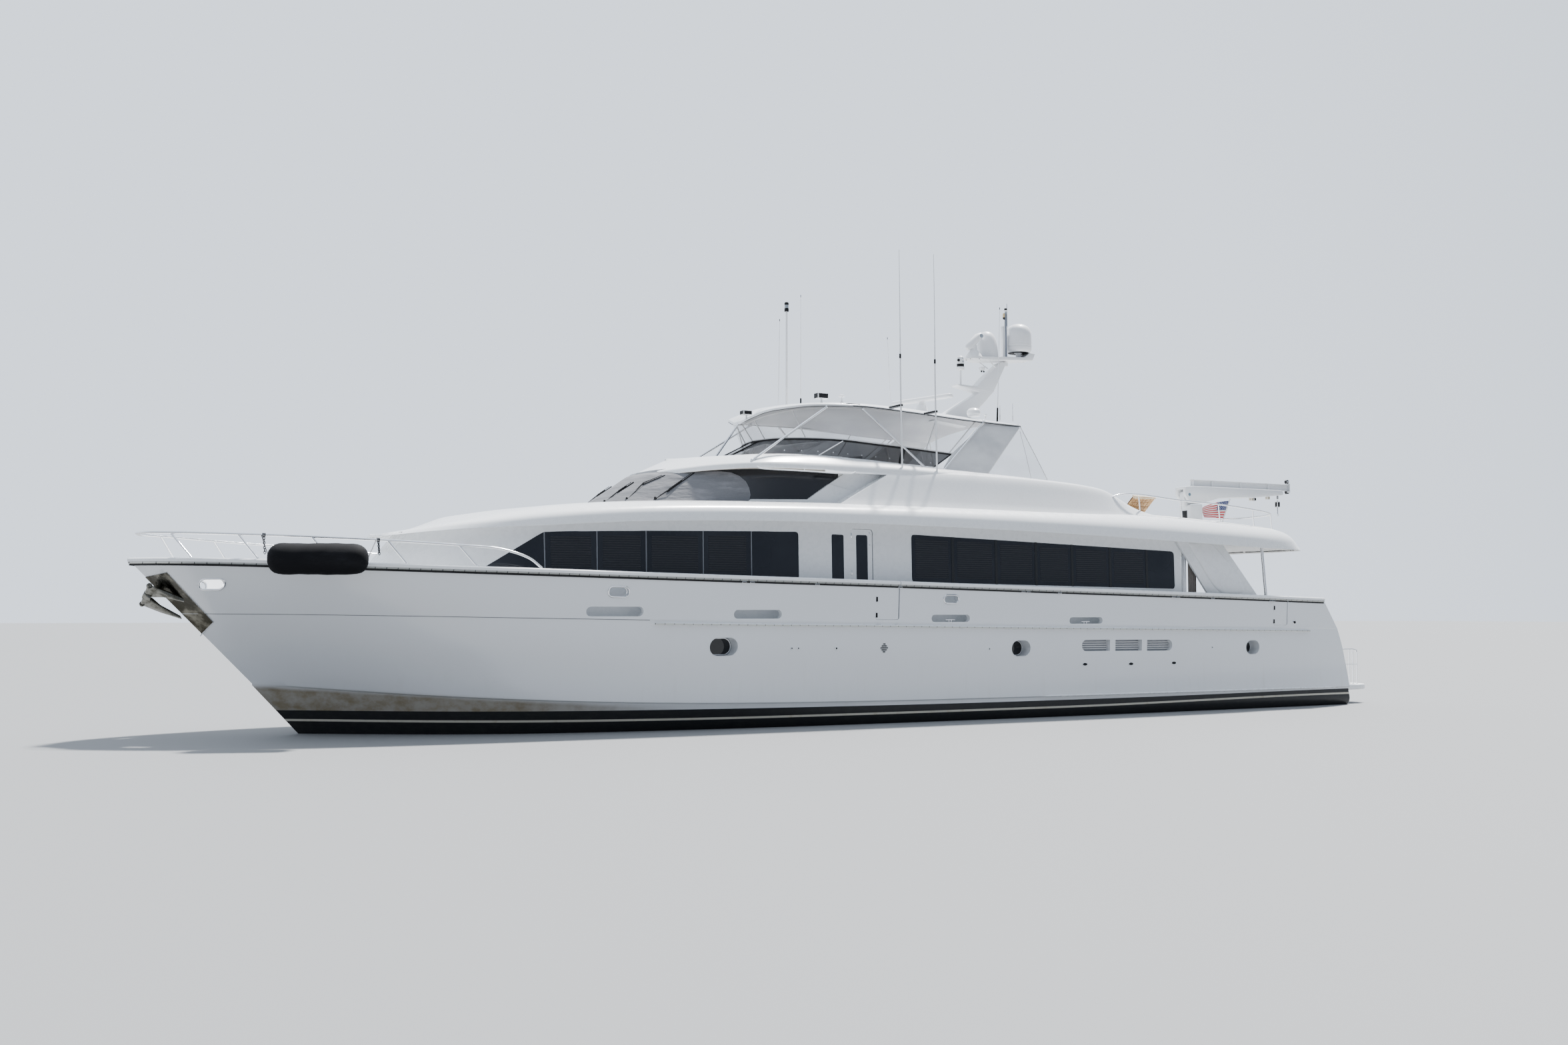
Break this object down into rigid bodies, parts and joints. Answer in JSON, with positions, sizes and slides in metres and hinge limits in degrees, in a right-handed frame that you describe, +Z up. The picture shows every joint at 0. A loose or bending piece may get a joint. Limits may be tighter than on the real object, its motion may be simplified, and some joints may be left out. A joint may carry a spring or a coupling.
{
  "type": "motor yacht",
  "caption": "Raised-pilothouse motor yacht with flybridge, hardtop, mast and radar, boat-deck crane, opening gates and doors, rudders and propellers.",
  "frame": {"origin": "on the centreline at the waterline, halfway along the yacht", "axes": "+X to the bow, +Y to port, +Z up"},
  "size_m": [30.4646, 6.8546, 12.2973],
  "materials": {
    "gelcoat": "polished white gelcoat",
    "hull_paint": "glossy white paint, stained at the bow",
    "tinted_glass": "dark tinted",
    "clear_panel": "clear vinyl",
    "polished_steel": "polished stainless steel",
    "bronze": "dull bronze",
    "black_cover": "black knitted cover",
    "white_fabric": "white canvas",
    "teak": "oiled teak",
    "flag_cloth": "woven bunting"
  },
  "bodies": {
    "yacht": {"bulwark_port": "gelcoat", "bulwark_starboard": "gelcoat", "foredeck": "gelcoat", "swim_platform": "gelcoat", "roof": "gelcoat", "house_side_port": "gelcoat", "house_side_starboard": "gelcoat", "house_front": "gelcoat", "aft_bulkhead": "gelcoat", "wing_port": "gelcoat", "wing_starboard": "gelcoat", "flybridge": "gelcoat", "hardtop": "gelcoat", "mast": "gelcoat", "dome_aft": "gelcoat", "dome_forward": "gelcoat", "light_pole": "gelcoat", "whip_port_fore": "gelcoat", "whip_port_aft": "gelcoat", "helm": "gelcoat", "crane_base": "gelcoat", "hull": "hull_paint", "window_forward_port": "tinted_glass", "window_forward_starboard": "tinted_glass", "window_aft_port": "tinted_glass", "window_aft_starboard": "tinted_glass", "pilothouse_glass": "tinted_glass", "flybridge_windscreen": "tinted_glass", "gusset_port": "clear_panel", "gusset_starboard": "clear_panel", "curtain": "clear_panel", "post_port": "polished_steel", "post_starboard": "polished_steel", "boat_deck_rail": "polished_steel", "bow_rail": "polished_steel", "anchor_pocket": "polished_steel", "anchor": "polished_steel", "windlass": "polished_steel", "fender": "black_cover", "aft_panel_port": "white_fabric", "aft_panel_starboard": "white_fabric", "bench": "teak", "ensign": "flag_cloth"},
    "propeller_port": {"propeller_port": "bronze"},
    "propeller_starboard": {"propeller_starboard": "bronze"},
    "rudder_port": {"rudder_port": "bronze"},
    "rudder_starboard": {"rudder_starboard": "bronze"},
    "radar_scanner": {"radar_scanner": "gelcoat"},
    "crane_post": {"crane_post": "gelcoat"},
    "crane_boom": {"crane_boom": "gelcoat"},
    "side_door_port": {"side_door_port": "gelcoat"},
    "side_door_starboard": {"side_door_starboard": "gelcoat"},
    "gate_mid_port": {"gate_mid_port": "gelcoat"},
    "gate_mid_starboard": {"gate_mid_starboard": "gelcoat"},
    "gate_aft_port": {"gate_aft_port": "gelcoat"},
    "gate_aft_starboard": {"gate_aft_starboard": "gelcoat"},
    "saloon_door_port": {"saloon_door_port": "tinted_glass"},
    "saloon_door_starboard": {"saloon_door_starboard": "tinted_glass"}
  },
  "joints": [
    {"name": "propeller_port_spin", "type": "hinge", "parent": "yacht", "child": "propeller_port", "pos_m": [-12.35, 1.15, -1.33], "axis": [0.9901, 0, 0.1404], "continuous": true},
    {"name": "rudder_port_steer", "type": "hinge", "parent": "yacht", "child": "rudder_port", "pos_m": [-13.25, 1.15, -1], "axis": [0, 0, 1], "range_deg": [-35, 35]},
    {"name": "propeller_starboard_spin", "type": "hinge", "parent": "yacht", "child": "propeller_starboard", "pos_m": [-12.35, -1.15, -1.33], "axis": [0.9901, 0, 0.1404], "continuous": true},
    {"name": "rudder_starboard_steer", "type": "hinge", "parent": "yacht", "child": "rudder_starboard", "pos_m": [-13.25, -1.15, -1], "axis": [0, 0, 1], "range_deg": [-35, 35]},
    {"name": "radar_scanner_spin", "type": "hinge", "parent": "yacht", "child": "radar_scanner", "pos_m": [-2.65, 0, 7.475], "axis": [0, 0, 1], "continuous": true},
    {"name": "crane_slew", "type": "hinge", "parent": "yacht", "child": "crane_post", "pos_m": [-11.25, 0, 4.8], "axis": [0, 0, 1], "range_deg": [-120, 120]},
    {"name": "crane_luff", "type": "hinge", "parent": "crane_post", "child": "crane_boom", "pos_m": [-11.095, 0, 5.57], "axis": [0, 1, 0], "range_deg": [0, 50]},
    {"name": "side_door_port_hinge", "type": "hinge", "parent": "yacht", "child": "side_door_port", "pos_m": [0.9997, 2.805, 3.2], "axis": [0, 0, 1], "range_deg": [-42, 0]},
    {"name": "gate_mid_port_hinge", "type": "hinge", "parent": "yacht", "child": "gate_mid_port", "pos_m": [0.7397, 3.43, 2.6], "axis": [0, 0, 1], "range_deg": [-90, 0]},
    {"name": "gate_aft_port_hinge", "type": "hinge", "parent": "yacht", "child": "gate_aft_port", "pos_m": [-11.1803, 3.112, 2.4], "axis": [0, 0, 1], "range_deg": [-90, 0]},
    {"name": "side_door_starboard_hinge", "type": "hinge", "parent": "yacht", "child": "side_door_starboard", "pos_m": [0.9997, -2.805, 3.2], "axis": [0, 0, 1], "range_deg": [0, 42]},
    {"name": "gate_mid_starboard_hinge", "type": "hinge", "parent": "yacht", "child": "gate_mid_starboard", "pos_m": [0.7397, -3.43, 2.6], "axis": [0, 0, 1], "range_deg": [0, 90]},
    {"name": "gate_aft_starboard_hinge", "type": "hinge", "parent": "yacht", "child": "gate_aft_starboard", "pos_m": [-11.1803, -3.112, 2.4], "axis": [0, 0, 1], "range_deg": [0, 90]},
    {"name": "saloon_door_port_slide", "type": "slide", "parent": "yacht", "child": "saloon_door_port", "axis": [0, 1, 0], "range_m": [0, 0.85]},
    {"name": "saloon_door_starboard_slide", "type": "slide", "parent": "yacht", "child": "saloon_door_starboard", "axis": [0, -1, 0], "range_m": [0, 0.85]}
  ],
  "couplings": [
    {"joint": "rudder_starboard_steer", "follows": "rudder_port_steer", "ratio": 1}
  ]
}
